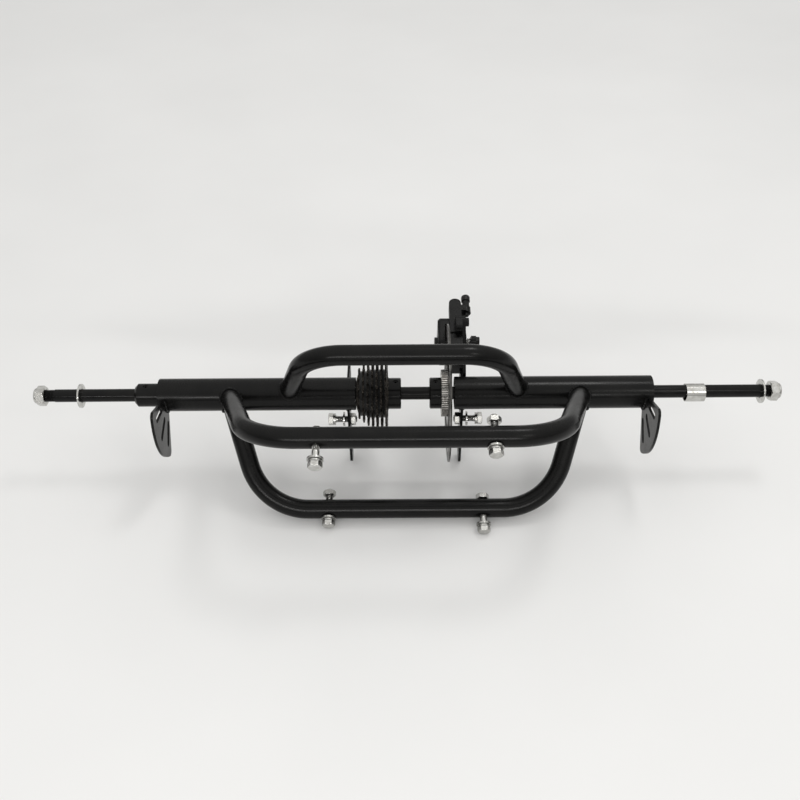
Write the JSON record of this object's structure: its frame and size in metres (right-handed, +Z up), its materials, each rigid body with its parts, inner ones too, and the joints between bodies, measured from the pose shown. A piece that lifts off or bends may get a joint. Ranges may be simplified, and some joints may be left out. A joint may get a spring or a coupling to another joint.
{
  "type": "kart rear axle assembly",
  "caption": "Pedal kart rear axle: twin axle tubes with bent-tube hoops, through axle on ball bearings, multi-speed freewheel, cable disc brake, dropout plates and slotted end tabs.",
  "frame": {"origin": "on the axle axis, midway between the two axle tubes", "axes": "X along the axle with the brake on the +X side, +Z up, -Y forwards towards the hoops"},
  "size_m": [0.864, 0.2907, 0.2245],
  "materials": {
    "black_paint": "satin black powder coat",
    "black_oxide": "black oxide with a light oil film",
    "zinc_plate": "bright zinc plate",
    "sprocket_steel": "dark brown heat-treated steel",
    "bearing_steel": "ground steel",
    "seal_rubber": "black rubber",
    "disc_steel": "ground stainless steel",
    "carrier_zinc": "machined steel, serrated edge",
    "caliper_paint": "black anodised casting",
    "black_plastic": "black nylon",
    "pad_steel": "stamped steel",
    "pad_lining": "sintered friction lining"
  },
  "bodies": {
    "frame": {"bearing_outer_races": "bearing_steel", "bearing_seals": "seal_rubber", "caliper_body": "caliper_paint", "caliper_bolts": "black_oxide", "caliper_bracket": "black_paint", "dropout_bolts": "zinc_plate", "dropout_nuts": "zinc_plate", "dropout_washers": "zinc_plate", "fixed_pad_lining": "pad_lining", "fixed_pad_plate": "pad_steel", "hoop_bolts": "zinc_plate", "hoop_flat_washers": "zinc_plate", "hoop_nuts": "zinc_plate", "hoop_spring_washers": "zinc_plate", "left_axle_tube": "black_paint", "left_dropout_plate": "black_paint", "left_end_tab": "black_paint", "lower_hoop": "black_paint", "middle_hoop": "black_paint", "return_spring": "zinc_plate", "right_axle_tube": "black_paint", "right_dropout_plate": "black_paint", "right_end_tab": "black_paint", "upper_hoop": "black_paint"},
    "axle": {"axle": "black_oxide", "axle_nuts": "zinc_plate", "left_collar": "black_oxide", "collar_set_screws": "black_oxide", "sprocket_hub": "black_oxide", "disc_hub": "black_oxide", "disc_carrier": "carrier_zinc", "brake_disc": "disc_steel", "disc_bolts": "black_oxide", "bearing_inner_races": "bearing_steel", "freewheel_core": "sprocket_steel", "freewheel_pawls": "black_oxide"},
    "cogset": {"freewheel_shell": "sprocket_steel", "freewheel_balls": "bearing_steel", "sprocket_spacers": "black_plastic", "sprocket_13t": "sprocket_steel", "sprocket_15t": "sprocket_steel", "sprocket_17t": "sprocket_steel", "sprocket_19t": "sprocket_steel", "sprocket_21t": "sprocket_steel", "sprocket_23t": "sprocket_steel", "sprocket_26t": "sprocket_steel"},
    "ball_cages": {"bearing_cages": "bearing_steel", "bearing_balls": "bearing_steel"},
    "brake_arm": {"brake_arm": "caliper_paint", "brake_cam": "caliper_paint", "arm_nut": "black_oxide", "cable_clamp": "black_oxide"},
    "moving_pad": {"piston": "caliper_paint", "moving_pad_plate": "pad_steel", "moving_pad_lining": "pad_lining"},
    "barrel_adjuster": {"barrel_adjuster": "black_plastic"},
    "pad_adjuster": {"pad_adjuster": "black_plastic"},
    "spacer_sleeve": {"spacer_sleeve": "zinc_plate"},
    "left_washer": {"left_washer": "zinc_plate"},
    "right_washer": {"right_washer": "zinc_plate"}
  },
  "joints": [
    {"name": "axle_spin", "type": "hinge", "parent": "frame", "child": "axle", "pos_m": [0, 0, 0], "axis": [1, 0, 0], "continuous": true},
    {"name": "freewheel_spin", "type": "hinge", "parent": "axle", "child": "cogset", "pos_m": [-0.037, 0, 0], "axis": [1, 0, 0], "continuous": true},
    {"name": "ball_cage_spin", "type": "hinge", "parent": "frame", "child": "ball_cages", "pos_m": [0, 0, 0], "axis": [1, 0, 0], "continuous": true},
    {"name": "brake_arm_pull", "type": "hinge", "parent": "frame", "child": "brake_arm", "pos_m": [0.081, 0.06325, 0.01886], "axis": [-1, 0, 0], "range_deg": [0, 25]},
    {"name": "moving_pad_slide", "type": "slide", "parent": "frame", "child": "moving_pad", "axis": [-1, 0, 0], "range_m": [0, 0.0004]},
    {"name": "barrel_adjuster_turn", "type": "hinge", "parent": "frame", "child": "barrel_adjuster", "pos_m": [0.0735, 0.09146, 0.05022], "axis": [0, 0.9583, 0.2857], "range_deg": [-180, 180]},
    {"name": "pad_adjuster_turn", "type": "hinge", "parent": "frame", "child": "pad_adjuster", "pos_m": [0.038, 0.06325, 0.01886], "axis": [1, 0, 0], "range_deg": [-180, 180]},
    {"name": "spacer_sleeve_slide", "type": "slide", "parent": "frame", "child": "spacer_sleeve", "axis": [1, 0, 0], "range_m": [-0.04, 0.0645]},
    {"name": "left_washer_slide", "type": "slide", "parent": "frame", "child": "left_washer", "axis": [1, 0, 0], "range_m": [-0.0393, 0.063]},
    {"name": "right_washer_slide", "type": "slide", "parent": "frame", "child": "right_washer", "axis": [1, 0, 0], "range_m": [-0.0645, 0.0075]}
  ],
  "couplings": [
    {"joint": "ball_cage_spin", "follows": "axle_spin", "ratio": 0.381},
    {"joint": "moving_pad_slide", "follows": "brake_arm_pull", "m_per_rad": 0.0009}
  ]
}
